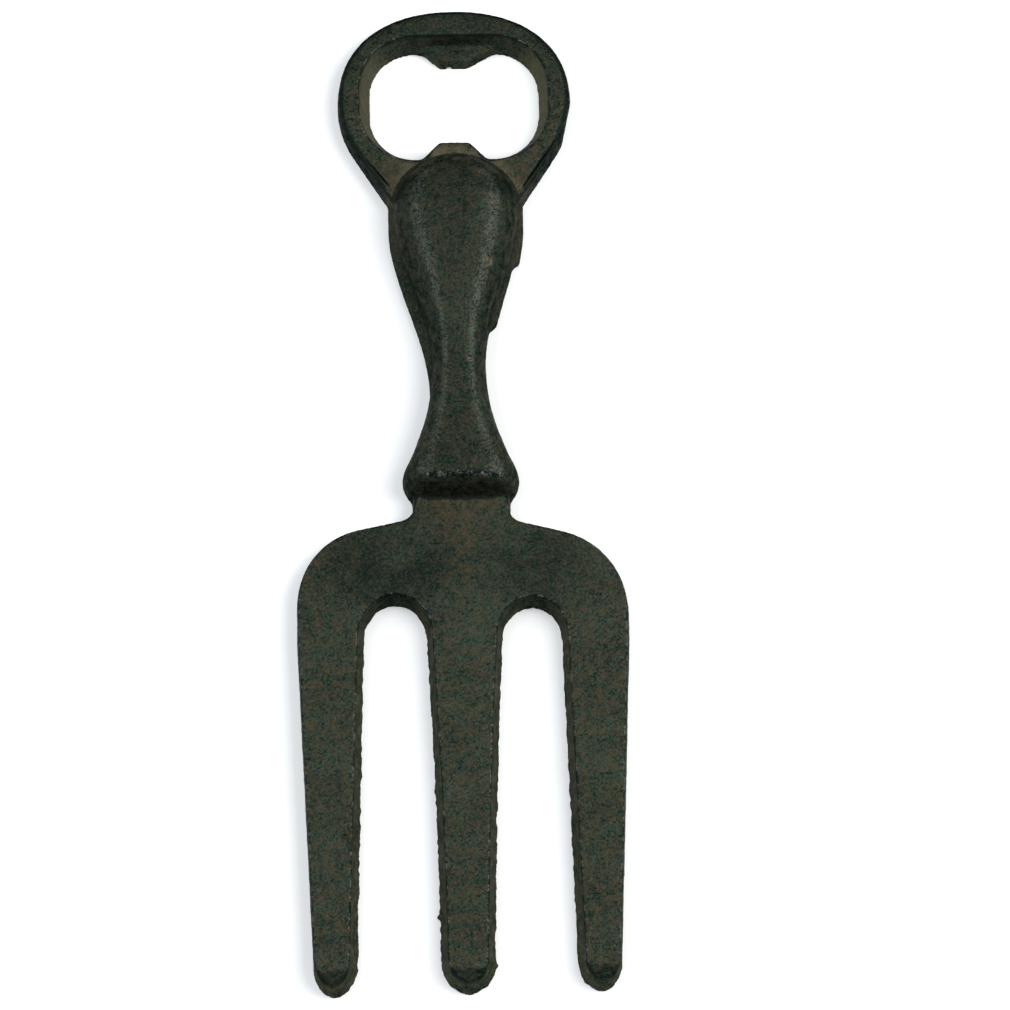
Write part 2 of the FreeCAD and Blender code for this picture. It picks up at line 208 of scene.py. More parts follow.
def loose_parts(item):
    """Splits an object into its separate parts, largest first, without stray crumbs."""
    only(item)
    bpy.ops.object.mode_set(mode="EDIT")
    bpy.ops.mesh.select_all(action="SELECT")
    bpy.ops.mesh.separate(type="LOOSE")
    bpy.ops.object.mode_set(mode="OBJECT")
    parts = sorted(bpy.context.selected_objects, key=lambda part: -len(part.data.vertices))
    for crumb in [part for part in parts if len(part.data.vertices) < 0.2 * len(parts[0].data.vertices)]:
        parts.remove(crumb)
        remove(crumb)
    return parts


def part_of_casting(name, inside, outside=()):
    """Copy of the casting's skin within one tool and without the others."""
    made = copy_of(bpy.data.objects["casting_skin"], name)
    carve(made, inside, "INTERSECT")
    for tool in outside:
        carve(made, tool, "DIFFERENCE")
    return made


def finish_piece(item, node):
    """Puts a finished form in the frame in place of its CAD node."""
    item.name = item.data.name = "cast_" + node
    only(item)
    bpy.ops.object.shade_smooth_by_angle(angle=math.radians(55))
    item.data.materials.clear()
    item.data.materials.append(bpy.data.materials["oiled_sand_cast_iron"])
    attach(item, "root")
    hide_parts(node)


def weigh(item, name, weights):
    """Vertex group from an array of weights."""
    group = item.vertex_groups.new(name=name)
    for index in np.flatnonzero(weights > 0.001):
        group.add([int(index)], float(weights[index]), "REPLACE")
    return group.name


def places(item):
    """Array of the vertices' places, in metres."""
    co = np.empty(len(item.data.vertices) * 3, np.float32)
    item.data.vertices.foreach_get("co", co)
    return co.reshape(-1, 3).astype(float)


def directions(item):
    """Array of the vertices' normals."""
    normals = np.empty(len(item.data.vertices) * 3, np.float32)
    item.data.vertices.foreach_get("normal", normals)
    return normals.reshape(-1, 3).astype(float)


def fade(values, start, end):
    """0 at start, 1 at end, smooth between."""
    share = np.clip((values - start) / (end - start), 0, 1)
    return share * share * (3 - 2 * share)


def nose_outline():
    """Half width and length of the handle's nose where it stands on the face of the web."""
    co = places(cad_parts["handle"])
    foot = co[(np.abs(co[:, 2] - FACE) < 1e-5) & (co[:, 1] > WEB - 1e-5)]
    return (foot[:, 0].max() - foot[:, 0].min()) / 2, foot[:, 1].max() - WEB


def nose_space():
    """Makes the room that the handle's nose takes above the web."""
    half, run = nose_outline()
    return post((HEAD_X, WEB), (half + NOSE_GAP, run + NOSE_GAP), FACE - 0.15 * MM, HIGH.z + MM)


def fin_space():
    """Makes the space outside the handle and the ring's flanks that holds both parting fins."""
    left, right = (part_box(name) for name in FINS)
    top = left[1].z + 0.1 * MM
    tool = block((left[0].x - MM, left[0].y, -MM), (HEAD_X, left[1].y - 0.3 * MM, top))
    other = block((HEAD_X, right[0].y, -MM), (right[1].x + MM, right[1].y - 0.3 * MM, top))
    carve(tool, other, "UNION")
    remove(other)
    for name in ("handle", "opener_ring"):
        solid = copy_of(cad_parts[name], "solid")
        merge_doubles(solid)
        carve(tool, solid, "DIFFERENCE")
        remove(solid)
    tool.name = tool.data.name = "fin_space"


# ---------------------------------------------------------------- settings

class CastingSizes(bpy.types.PropertyGroup):
    mesh_size: length("Mesh size", "Size of the faces that carry the cast surface", 0.26)
    edge_passes: IntProperty(name="Edge softness", description="Smoothing passes that round the cast edges",
                             default=7, min=0, max=40)
    hollow_radius: length("Hollow", "Width of the hollows where forms meet", 1.5)
    hollow_passes: IntProperty(name="Hollow softness", description="Smoothing passes in the hollows",
                               default=40, min=0, max=200)
    rim_passes: IntProperty(name="Rim softness", description="Smoothing passes on the ring's outer edge",
                            default=90, min=0, max=200)
    waviness: length("Waviness", "Depth of the slow waves left by the sand mould", 0.16)
    wave_size: length("Wave size", "Size of the slow waves", 7.0)
    grain: length("Grain", "Depth of the sand grain", 0.15)
    grain_size: length("Grain size", "Size of the sand grains", 0.75)
    flash: length("Flash", "How far the ragged flash stands out along the slots", 0.55)
    flash_size: length("Flash size", "Length of one tooth of the flash", 1.5)


class CastingColours(bpy.types.PropertyGroup):
    # this colour also stands in as painted shade on the handle, the ring's rim and far side, the lobe corner, under
    # edges and on the collar's crest
    oil_black_and_shade: colour("Oil black", "Blackened, oiled iron in the pores and on the slopes", "#161F1B")
    scale_grey: colour("Scale", "Green-grey casting scale on the grains", "#39473C")
    bloom: colour("Rust bloom", "Brown bloom of rust in blotches on the flat faces", "#524330")
    # this colour also stands in as painted sheen on the sideways walls of window and slots
    dust_and_wall_sheen: colour("Rust dust", "Dry rust round the nose, in the window and in the gas holes", "#77735B")
    # this colour also stands in as painted sheen on the handle's shoulders and painted highlights on the collar's
    # crest
    bare_iron_and_sheen: colour("Bare iron", "Iron that shows on worn edges", "#A2A69E")


class TableSettings(bpy.types.PropertyGroup):
    floor_colour: colour("Table", "Colour of the plain table", "#F6F8F8")
    right_power: FloatProperty(name="Right lamp", description="Power of the wide lamp on the right",
                               default=3.1, min=0, unit="POWER")
    left_power: FloatProperty(name="Left lamp", description="Power of the wide lamp on the left",
                              default=1.75, min=0, unit="POWER")
    strip_power: FloatProperty(name="Strip lamps", description="Power of the low strip on the right",
                               default=3.0, min=0, unit="POWER")
    ambient: FloatProperty(name="Ambient", description="Strength of the light from all round",
                           default=0.32, min=0)
    camera_distance: length("Camera distance", "From the camera to the middle of the opener", 720)
    camera_tilt: FloatProperty(name="Camera tilt", description="Lean of the view towards the tines",
                               default=math.radians(16), subtype="ANGLE", unit="ROTATION")
    camera_roll: FloatProperty(name="Camera roll", description="Turn of the camera about its line of sight",
                               default=math.radians(-0.8), subtype="ANGLE", unit="ROTATION")


# ---------------------------------------------------------------- materials

def add(tree, kind, inputs=None, **settings):
    """Adds a node with its settings, its input values and the links into it."""
    made = tree.nodes.new(kind)
    for key, value in settings.items():
        setattr(made, key, value)
    for socket, value in (inputs or {}).items():
        if isinstance(value, bpy.types.NodeSocket):
            tree.links.new(value, made.inputs[socket])
        else:
            made.inputs[socket].default_value = value
    return made


def oiled_iron(colours):
    """Sand-cast grey iron, blackened and oiled. It looks dull green-black with brown bloom on its flat faces. Painted
    shade darkens the raised handle, the ring's rim and far side, and lines under edges; painted sheen lightens the
    handle's shoulders, the sideways walls and the collar's crest.
    """
    material = bpy.data.materials.new("oiled_sand_cast_iron")
    material.use_nodes = True
    tree = material.node_tree
    tree.nodes.clear()
    place = add(tree, "ShaderNodeTexCoord").outputs["Object"]
    plan = add(tree, "ShaderNodeVectorMath", {0: place, 1: (1, 1, 0)}, operation="MULTIPLY").outputs[0]
    across, along, height = add(tree, "ShaderNodeSeparateXYZ", {0: place}).outputs
    aside = add(tree, "ShaderNodeMath", {0: across, 1: HEAD_X}, operation="SUBTRACT")
    aside = add(tree, "ShaderNodeMath", {0: aside.outputs[0]}, operation="ABSOLUTE").outputs[0]
    facing = add(tree, "ShaderNodeNewGeometry").outputs["Normal"]
    sideways, forward, up = add(tree, "ShaderNodeSeparateXYZ", {0: facing}).outputs

    # sand grains about 0.5 mm across, and fines between them
    grain = add(tree, "ShaderNodeTexNoise",
                {"Vector": place, "Scale": 1 / (0.45 * MM), "Detail": 2.0, "Roughness": 0.6}).outputs["Fac"]
    fines = add(tree, "ShaderNodeTexNoise",
                {"Vector": place, "Scale": 1 / (0.3 * MM), "Detail": 2.0, "Roughness": 0.6}).outputs["Fac"]
    # blotches of bloom about 1.6 mm across, and clouds of oil about 8 mm across
    blotch = add(tree, "ShaderNodeTexNoise",
                 {"Vector": place, "Scale": 1 / (1.6 * MM), "Detail": 5.0, "Roughness": 0.75}).outputs["Fac"]
    cloud = add(tree, "ShaderNodeTexNoise",
                {"Vector": place, "Scale": 1 / (8 * MM), "Detail": 4.0, "Roughness": 0.6}).outputs["Fac"]

    # grains that stand proud carry the scale, and the pores between them stay oil black
    proud = add(tree, "ShaderNodeMath", {0: grain, 1: fines}, operation="ADD")
    proud = add(tree, "ShaderNodeMath", {0: cloud, 1: 0.4, 2: proud.outputs[0]}, operation="MULTIPLY_ADD")
    scale = add(tree, "ShaderNodeMapRange", {"Value": proud.outputs[0], "From Min": 1.02, "From Max": 1.38})
    skin = add(tree, "ShaderNodeMix",
               {0: scale.outputs[0], 6: (*colours.oil_black_and_shade, 1), 7: (*colours.scale_grey, 1)},
               data_type="RGBA")

    # the bloom gathers in blotches, more of it on the web round the nose and on the neck
    low = add(tree, "ShaderNodeMapRange",
              {"Value": height, "From Min": FACE, "From Max": FACE + 1 * MM, "To Min": 1.0, "To Max": 0.0}).outputs[0]
    half, run = nose_outline()
    on_web = add(tree, "ShaderNodeVectorMath", {0: plan, 1: (HEAD_X, WEB, 0)}, operation="DISTANCE")
    on_web = add(tree, "ShaderNodeMapRange",
                 {"Value": on_web.outputs["Value"], "From Min": run, "From Max": run + 7 * MM,
                  "To Min": 0.16, "To Max": 0.0})
    on_neck = add(tree, "ShaderNodeVectorMath", {0: plan, 1: (0, END - 2 * MM, 0)}, operation="DISTANCE")
    on_neck = add(tree, "ShaderNodeMapRange",
                  {"Value": on_neck.outputs["Value"], "From Min": 3 * MM, "From Max": 9 * MM,
                   "To Min": 0.07, "To Max": 0.0})
    more = add(tree, "ShaderNodeMath", {0: on_web.outputs[0], 1: on_neck.outputs[0]}, operation="ADD")
    rust = add(tree, "ShaderNodeMath", {0: more.outputs[0], 1: low, 2: blotch}, operation="MULTIPLY_ADD")
    rust = add(tree, "ShaderNodeMapRange",
               {"Value": rust.outputs[0], "From Min": 0.41, "From Max": 0.71, "To Max": 0.65}).outputs[0]
    skin = add(tree, "ShaderNodeMix",
               {0: rust, 6: skin.outputs[2], 7: (*colours.bloom, 1)}, data_type="RGBA")

    # darker places: painted shade over the raised handle, heavier on its slopes, and on its foot with the fins beside
    # it
    raised = add(tree, "ShaderNodeMapRange",
                 {"Value": height, "From Min": FACE, "From Max": FACE + 1.5 * MM}).outputs[0]
    steep = add(tree, "ShaderNodeMapRange",
                {"Value": up, "From Min": 0.5, "From Max": 0.9, "To Min": 0.5, "To Max": 0.32})
    slope = add(tree, "ShaderNodeMath", {0: raised, 1: steep.outputs[0]}, operation="MULTIPLY")
    # less painted shade on faces turned towards the tines, such as the collar's end face
    end_face = add(tree, "ShaderNodeMapRange",
                   {"Value": forward, "From Min": -0.9, "From Max": -0.4, "To Min": 0.1, "To Max": 1.0})
    slope = add(tree, "ShaderNodeMath", {0: slope.outputs[0], 1: end_face.outputs[0]}, operation="MULTIPLY")
    # less painted shade on the nose's slopes that face the ring
    nose = add(tree, "ShaderNodeMapRange",
               {"Value": forward, "From Min": 0.05, "From Max": 0.4, "To Min": 1.0, "To Max": 0.15})
    slope = add(tree, "ShaderNodeMath", {0: slope.outputs[0], 1: nose.outputs[0]}, operation="MULTIPLY")
    beside = add(tree, "ShaderNodeMath", {0: along, 1: (END + WEB) / 2, 2: (WEB - END) / 2}, operation="COMPARE")
    foot = add(tree, "ShaderNodeMapRange",
               {"Value": height, "From Min": FACE, "From Max": FACE + 2 * MM, "To Min": 0.5, "To Max": 0.0})
    foot = add(tree, "ShaderNodeMath", {0: beside.outputs[0], 1: foot.outputs[0]}, operation="MULTIPLY")
    shade_and_dark_patches = add(tree, "ShaderNodeMath", {0: slope.outputs[0], 1: foot.outputs[0]}, operation="MAXIMUM")
    # the crown where the slots end, in clouds
    mirrored = add(tree, "ShaderNodeVectorMath", {0: plan}, operation="ABSOLUTE").outputs[0]
    slot_end = add(tree, "ShaderNodeVectorMath",
                   {0: mirrored, 1: (12 * MM, -ROOTS - 13 * MM, 0)}, operation="DISTANCE")
    slot_end = add(tree, "ShaderNodeMapRange",
                   {"Value": slot_end.outputs["Value"], "From Min": 4 * MM, "From Max": 14 * MM,
                    "To Min": 0.8, "To Max": 0.0})
    clouded = add(tree, "ShaderNodeMapRange",
                  {"Value": cloud, "From Min": 0.64, "From Max": 0.4, "To Min": 0.4, "To Max": 1.0})
    slot_end = add(tree, "ShaderNodeMath", {0: slot_end.outputs[0], 1: clouded.outputs[0]}, operation="MULTIPLY")
    on_fork = add(tree, "ShaderNodeMath", {0: along, 1: END}, operation="LESS_THAN")
    slot_end = add(tree, "ShaderNodeMath", {0: slot_end.outputs[0], 1: on_fork.outputs[0]}, operation="MULTIPLY")
    shade_and_dark_patches = add(tree, "ShaderNodeMath", {0: shade_and_dark_patches.outputs[0], 1: slot_end.outputs[0]}, operation="MAXIMUM")
    # painted shade on the rounded rim of the ring, growing towards its far side, and a painted shadow in the corner
    # between its face and the lobe
    outside = add(tree, "ShaderNodeVectorMath", {0: plan, 1: (HEAD_X, WINDOW_Y, 0)}, operation="DISTANCE")
    outside = add(tree, "ShaderNodeMapRange",
                  {"Value": outside.outputs["Value"], "From Min": 17 * MM, "From Max": 18.5 * MM})
    on_head = add(tree, "ShaderNodeMath", {0: along, 1: WEB}, operation="GREATER_THAN").outputs[0]
    outside = add(tree, "ShaderNodeMath", {0: outside.outputs[0], 1: on_head}, operation="MULTIPLY").outputs[0]
    rim = add(tree, "ShaderNodeMapRange", {"Value": up, "From Min": 0.99, "From Max": 0.9, "To Max": 0.75})
    rim = add(tree, "ShaderNodeMath", {0: rim.outputs[0], 1: outside}, operation="MULTIPLY")
    shade_and_dark_patches = add(tree, "ShaderNodeMath", {0: shade_and_dark_patches.outputs[0], 1: rim.outputs[0]}, operation="MAXIMUM")
    far_side = add(tree, "ShaderNodeMapRange",
                   {"Value": along, "From Min": WEB + 12 * MM, "From Max": HIGH.y - 4 * MM, "To Max": 0.36})
    shade_and_dark_patches = add(tree, "ShaderNodeMath", {0: shade_and_dark_patches.outputs[0], 1: far_side.outputs[0]}, operation="MAXIMUM")
    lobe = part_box("bearing_lobe")[1]
    corner = add(tree, "ShaderNodeVectorMath",
                 {0: place, 1: (HEAD_X, lobe.y - 0.6 * MM, FACE - 1.2 * MM)}, operation="SUBTRACT")
    corner = add(tree, "ShaderNodeVectorMath",
                 {0: corner.outputs[0], 1: (1 / (11 * MM), 1 / (1.6 * MM), 1 / (1.6 * MM))}, operation="MULTIPLY")
    corner = add(tree, "ShaderNodeVectorMath", {0: corner.outputs[0]}, operation="LENGTH")
    corner = add(tree, "ShaderNodeMapRange",
                 {"Value": corner.outputs["Value"], "From Min": 0.6, "From Max": 1.1, "To Min": 0.85, "To Max": 0.0})
    shade_and_dark_patches = add(tree, "ShaderNodeMath", {0: shade_and_dark_patches.outputs[0], 1: corner.outputs[0]}, operation="MAXIMUM")
    # the proudest grains still show through the oil and the painted shade
    through = add(tree, "ShaderNodeMapRange",
                  {"Value": proud.outputs[0], "From Min": 1.02, "From Max": 1.38, "To Min": 1.3, "To Max": 0.7})
    shade_and_dark_patches = add(tree, "ShaderNodeMath", {0: shade_and_dark_patches.outputs[0], 1: through.outputs[0]}, operation="MULTIPLY",
               use_clamp=True)
    skin = add(tree, "ShaderNodeMix",
               {0: shade_and_dark_patches.outputs[0], 6: skin.outputs[2], 7: (*colours.oil_black_and_shade, 1)}, data_type="RGBA")

    # rust dust lies round the foot of the nose and in the gas holes; the same colour paints a sheen on the walls that
    # face sideways, most on the window's walls and thinly on the slots' walls
    dust_and_wall_sheen = add(tree, "ShaderNodeVectorMath", {0: plan, 1: (HEAD_X, WEB, 0)}, operation="SUBTRACT")
    dust_and_wall_sheen = add(tree, "ShaderNodeVectorMath", {0: dust_and_wall_sheen.outputs[0], 1: (half, run, 1)}, operation="DIVIDE")
    dust_and_wall_sheen = add(tree, "ShaderNodeVectorMath", {0: dust_and_wall_sheen.outputs[0]}, operation="LENGTH")
    dust_and_wall_sheen = add(tree, "ShaderNodeMapRange",
               {"Value": dust_and_wall_sheen.outputs["Value"], "From Min": 1.0, "From Max": 1.24, "To Min": 0.8, "To Max": 0.0})
    past_web = add(tree, "ShaderNodeMapRange",
                   {"Value": along, "From Min": WEB - 1 * MM, "From Max": HIGH.y, "To Max": 3.0})
    dust_and_wall_sheen = add(tree, "ShaderNodeMath", {0: dust_and_wall_sheen.outputs[0], 1: past_web.outputs[0]}, operation="MULTIPLY",
               use_clamp=True)
    uneven = add(tree, "ShaderNodeMapRange",
                 {"Value": blotch, "From Min": 0.35, "From Max": 0.6, "To Min": 0.5, "To Max": 1.0})
    dust_and_wall_sheen = add(tree, "ShaderNodeMath", {0: dust_and_wall_sheen.outputs[0], 1: uneven.outputs[0]}, operation="MULTIPLY")
    dust_and_wall_sheen = add(tree, "ShaderNodeMath", {0: dust_and_wall_sheen.outputs[0], 1: low}, operation="MULTIPLY")
    turned = add(tree, "ShaderNodeMath", {0: sideways}, operation="ABSOLUTE").outputs[0]
    # painted sheen: walls that face sideways are lightened with the rust dust colour
    wall = add(tree, "ShaderNodeMapRange", {"Value": turned, "From Min": 0.45, "From Max": 0.8, "To Max": 0.32})
    depth = add(tree, "ShaderNodeMath", {0: on_head, 1: 0.7, 2: 0.3}, operation="MULTIPLY_ADD")
    wall = add(tree, "ShaderNodeMath", {0: wall.outputs[0], 1: depth.outputs[0]}, operation="MULTIPLY")
    others = add(tree, "ShaderNodeMath", {0: beside.outputs[0], 1: outside}, operation="MAXIMUM")
    wall = add(tree, "ShaderNodeMath", {0: wall.outputs[0], 1: others.outputs[0]}, operation="SUBTRACT",
               use_clamp=True)
    dust_and_wall_sheen = add(tree, "ShaderNodeMath", {0: dust_and_wall_sheen.outputs[0], 1: wall.outputs[0]}, operation="MAXIMUM")
    for x, y, size, _ in GAS_HOLES:
        hole = add(tree, "ShaderNodeVectorMath", {0: plan, 1: (x, y, 0)}, operation="DISTANCE")
        hole = add(tree, "ShaderNodeMapRange",
                   {"Value": hole.outputs["Value"], "From Min": 0.6 * size[0] * MM, "From Max": size[0] * MM,
                    "To Min": 0.4, "To Max": 0.0})
        dust_and_wall_sheen = add(tree, "ShaderNodeMath", {0: dust_and_wall_sheen.outputs[0], 1: hole.outputs[0]}, operation="MAXIMUM")
    skin = add(tree, "ShaderNodeMix",
               {0: dust_and_wall_sheen.outputs[0], 6: skin.outputs[2], 7: (*colours.dust_and_wall_sheen, 1)}, data_type="RGBA")

    # painted sheen on the handle's shoulders, in a light iron grey broken up by the grains
    shoulder = add(tree, "ShaderNodeMapRange", {"Value": up, "From Min": 0.68, "From Max": 0.82})
    off_top = add(tree, "ShaderNodeMapRange",
                  {"Value": up, "From Min": 0.86, "From Max": 0.96, "To Min": 1.0, "To Max": 0.0})
    sides = add(tree, "ShaderNodeMapRange", {"Value": turned, "From Min": 0.18, "From Max": 0.4})
    painted_shoulder_sheen = add(tree, "ShaderNodeMath", {0: shoulder.outputs[0], 1: off_top.outputs[0]}, operation="MULTIPLY")
    painted_shoulder_sheen = add(tree, "ShaderNodeMath", {0: painted_shoulder_sheen.outputs[0], 1: sides.outputs[0]}, operation="MULTIPLY")
    painted_shoulder_sheen = add(tree, "ShaderNodeMath", {0: painted_shoulder_sheen.outputs[0], 1: raised}, operation="MULTIPLY")
    sheen_grains = add(tree, "ShaderNodeMapRange",
              {"Value": proud.outputs[0], "From Min": 0.98, "From Max": 1.42, "To Max": 0.13})
    painted_shoulder_sheen = add(tree, "ShaderNodeMath", {0: painted_shoulder_sheen.outputs[0], 1: sheen_grains.outputs[0]}, operation="MULTIPLY")
    skin = add(tree, "ShaderNodeMix",
               {0: painted_shoulder_sheen.outputs[0], 6: skin.outputs[2], 7: (*colours.bare_iron_and_sheen, 1)}, data_type="RGBA")

    # worn iron shows in short lines along the edges of window and slots, and painted highlights show in patches on
    # the collar's crest
    tilt = add(tree, "ShaderNodeMapRange", {"Value": up, "From Min": 0.62, "From Max": 0.8})
    level = add(tree, "ShaderNodeMapRange",
                {"Value": up, "From Min": 0.94, "From Max": 0.985, "To Min": 1.0, "To Max": 0.0})
    near = add(tree, "ShaderNodeMapRange",
               {"Value": height, "From Min": FACE - 0.7 * MM, "From Max": FACE - 0.35 * MM})
    near = add(tree, "ShaderNodeMath", {0: near.outputs[0], 1: low}, operation="MULTIPLY")
    # but not on the ring's rim, over the lobe, at the collar's foot or on the points
    window = add(tree, "ShaderNodeMapRange", {"Value": aside, "From Min": 8.5 * MM, "From Max": 12 * MM})
    over = add(tree, "ShaderNodeMath", {0: on_head, 1: window.outputs[0]}, operation="SUBTRACT", use_clamp=True)
    over = add(tree, "ShaderNodeMath", {0: over.outputs[0], 1: outside}, operation="MAXIMUM")
    under = add(tree, "ShaderNodeMath", {0: along, 1: END, 2: 1.5 * MM}, operation="COMPARE")
    over = add(tree, "ShaderNodeMath", {0: over.outputs[0], 1: under.outputs[0]}, operation="MAXIMUM")
    point = add(tree, "ShaderNodeMapRange",
                {"Value": along, "From Min": LOW.y + 5.5 * MM, "From Max": LOW.y + 4 * MM})
    over = add(tree, "ShaderNodeMath", {0: over.outputs[0], 1: point.outputs[0]}, operation="MAXIMUM")
    near = add(tree, "ShaderNodeMath", {0: near.outputs[0], 1: over.outputs[0]}, operation="SUBTRACT",
               use_clamp=True)
    crest = add(tree, "ShaderNodeMapRange", {"Value": forward, "From Min": -0.25, "From Max": -0.45, "To Max": 1.4})
    high = add(tree, "ShaderNodeMapRange", {"Value": height, "From Min": 8.5 * MM, "From Max": 9.5 * MM})
    crest = add(tree, "ShaderNodeMath", {0: crest.outputs[0], 1: high.outputs[0]}, operation="MULTIPLY")
    near = add(tree, "ShaderNodeMath", {0: near.outputs[0], 1: crest.outputs[0]}, operation="MAXIMUM")
    edge = add(tree, "ShaderNodeMath", {0: tilt.outputs[0], 1: level.outputs[0]}, operation="MULTIPLY")
    edge = add(tree, "ShaderNodeMath", {0: edge.outputs[0], 1: near.outputs[0]}, operation="MULTIPLY")
    patchy = add(tree, "ShaderNodeMapRange", {"Value": blotch, "From Min": 0.46, "From Max": 0.58, "To Max": 0.34})
    dashes = add(tree, "ShaderNodeMapRange", {"Value": grain, "From Min": 0.42, "From Max": 0.56})
    patchy = add(tree, "ShaderNodeMath", {0: patchy.outputs[0], 1: dashes.outputs[0]}, operation="MULTIPLY")
    wear_and_crest_highlight = add(tree, "ShaderNodeMath", {0: edge.outputs[0], 1: patchy.outputs[0]}, operation="MULTIPLY")
    # painted shade in a line just under those edges, and on the collar's crest where it faces the tines
    brim = add(tree, "ShaderNodeMapRange", {"Value": up, "From Min": 0.3, "From Max": 0.55})
    painted_shade_lines = add(tree, "ShaderNodeMath", {0: brim.outputs[0], 1: level.outputs[0]}, operation="MULTIPLY")
    under_edge = add(tree, "ShaderNodeMapRange",
                     {"Value": height, "From Min": FACE - 1.1 * MM, "From Max": FACE - 0.7 * MM, "To Max": 0.9})
    painted_shade_lines = add(tree, "ShaderNodeMath", {0: painted_shade_lines.outputs[0], 1: under_edge.outputs[0]}, operation="MULTIPLY")
    painted_shade_lines = add(tree, "ShaderNodeMath", {0: painted_shade_lines.outputs[0], 1: low}, operation="MULTIPLY")
    crest = add(tree, "ShaderNodeMath", {0: crest.outputs[0], 1: edge.outputs[0]}, operation="MULTIPLY",
                use_clamp=True)
    painted_shade_lines = add(tree, "ShaderNodeMath", {0: painted_shade_lines.outputs[0], 1: crest.outputs[0]}, operation="MAXIMUM")
    skin = add(tree, "ShaderNodeMix",
               {0: painted_shade_lines.outputs[0], 6: skin.outputs[2], 7: (*colours.oil_black_and_shade, 1)}, data_type="RGBA")
    skin = add(tree, "ShaderNodeMix",
               {0: wear_and_crest_highlight.outputs[0], 6: skin.outputs[2], 7: (*colours.bare_iron_and_sheen, 1)}, data_type="RGBA")

    # bloom and dust are rust, and no longer metal, and the painted wall sheen loses metal too
    rust_and_wall_sheen = add(tree, "ShaderNodeMath", {0: rust, 1: dust_and_wall_sheen.outputs[0]}, operation="MAXIMUM")
    metal = add(tree, "ShaderNodeMath", {0: rust_and_wall_sheen.outputs[0], 1: -0.85, 2: 1.0}, operation="MULTIPLY_ADD")

    # oil leaves a dull sheen, which the grains break up
    dull = add(tree, "ShaderNodeMapRange",
               {"Value": grain, "From Min": 0.3, "From Max": 0.7, "To Min": 0.42, "To Max": 0.58})
    relief = add(tree, "ShaderNodeMath", {0: fines, 1: 0.4, 2: grain}, operation="MULTIPLY_ADD")
    relief = add(tree, "ShaderNodeMath", {0: blotch, 1: 0.8, 2: relief.outputs[0]}, operation="MULTIPLY_ADD")
    bump = add(tree, "ShaderNodeBump",
               {"Height": relief.outputs[0], "Strength": 1.0, "Distance": 0.21 * MM})
    shader = add(tree, "ShaderNodeBsdfPrincipled",
                 {"Base Color": skin.outputs[2], "Metallic": metal.outputs[0], "Roughness": dull.outputs[0],
                  "Normal": bump.outputs[0], "Specular IOR Level": 0.2, "Specular Tint": (0.3, 0.3, 0.28, 1)})
    add(tree, "ShaderNodeOutputMaterial", {"Surface": shader.outputs[0]})
    return material


def table_paint(floor_colour):
    """Matt white table. It shows white to the camera and in reflections, and keeps the shadow."""
    material = bpy.data.materials.new("matt_white_table")
    material.use_nodes = True
    tree = material.node_tree
    tree.nodes.clear()
    rays = add(tree, "ShaderNodeLightPath")
    seen = add(tree, "ShaderNodeMath",
               {0: rays.outputs["Is Camera Ray"], 1: rays.outputs["Is Glossy Ray"]}, operation="MAXIMUM")
    seen = add(tree, "ShaderNodeMath",
               {0: seen.outputs[0], 1: rays.outputs["Is Transmission Ray"]}, operation="MAXIMUM")
    lift = add(tree, "ShaderNodeMath", {0: seen.outputs[0], 1: 0.2}, operation="MULTIPLY")
    matt = add(tree, "ShaderNodeBsdfDiffuse", {"Color": (*floor_colour, 1)})
    glow = add(tree, "ShaderNodeEmission", {"Color": (1, 1, 1, 1), "Strength": lift.outputs[0]})
    both = add(tree, "ShaderNodeAddShader", {0: matt.outputs[0], 1: glow.outputs[0]})
    add(tree, "ShaderNodeOutputMaterial", {"Surface": both.outputs[0]})
    return material


# ---------------------------------------------------------------- operators

class CASTING_OT_iron_finish(bpy.types.Operator):
    """Make the finish of oiled sand-cast iron and give it to the CAD forms"""
    bl_idname = "casting.iron_finish"
    bl_label = "Iron finish"

    def execute(self, context):
        material = oiled_iron(context.scene.casting_colours)
        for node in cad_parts.values():
            node.data.materials.clear()
            node.data.materials.append(material)
        return {"FINISHED"}


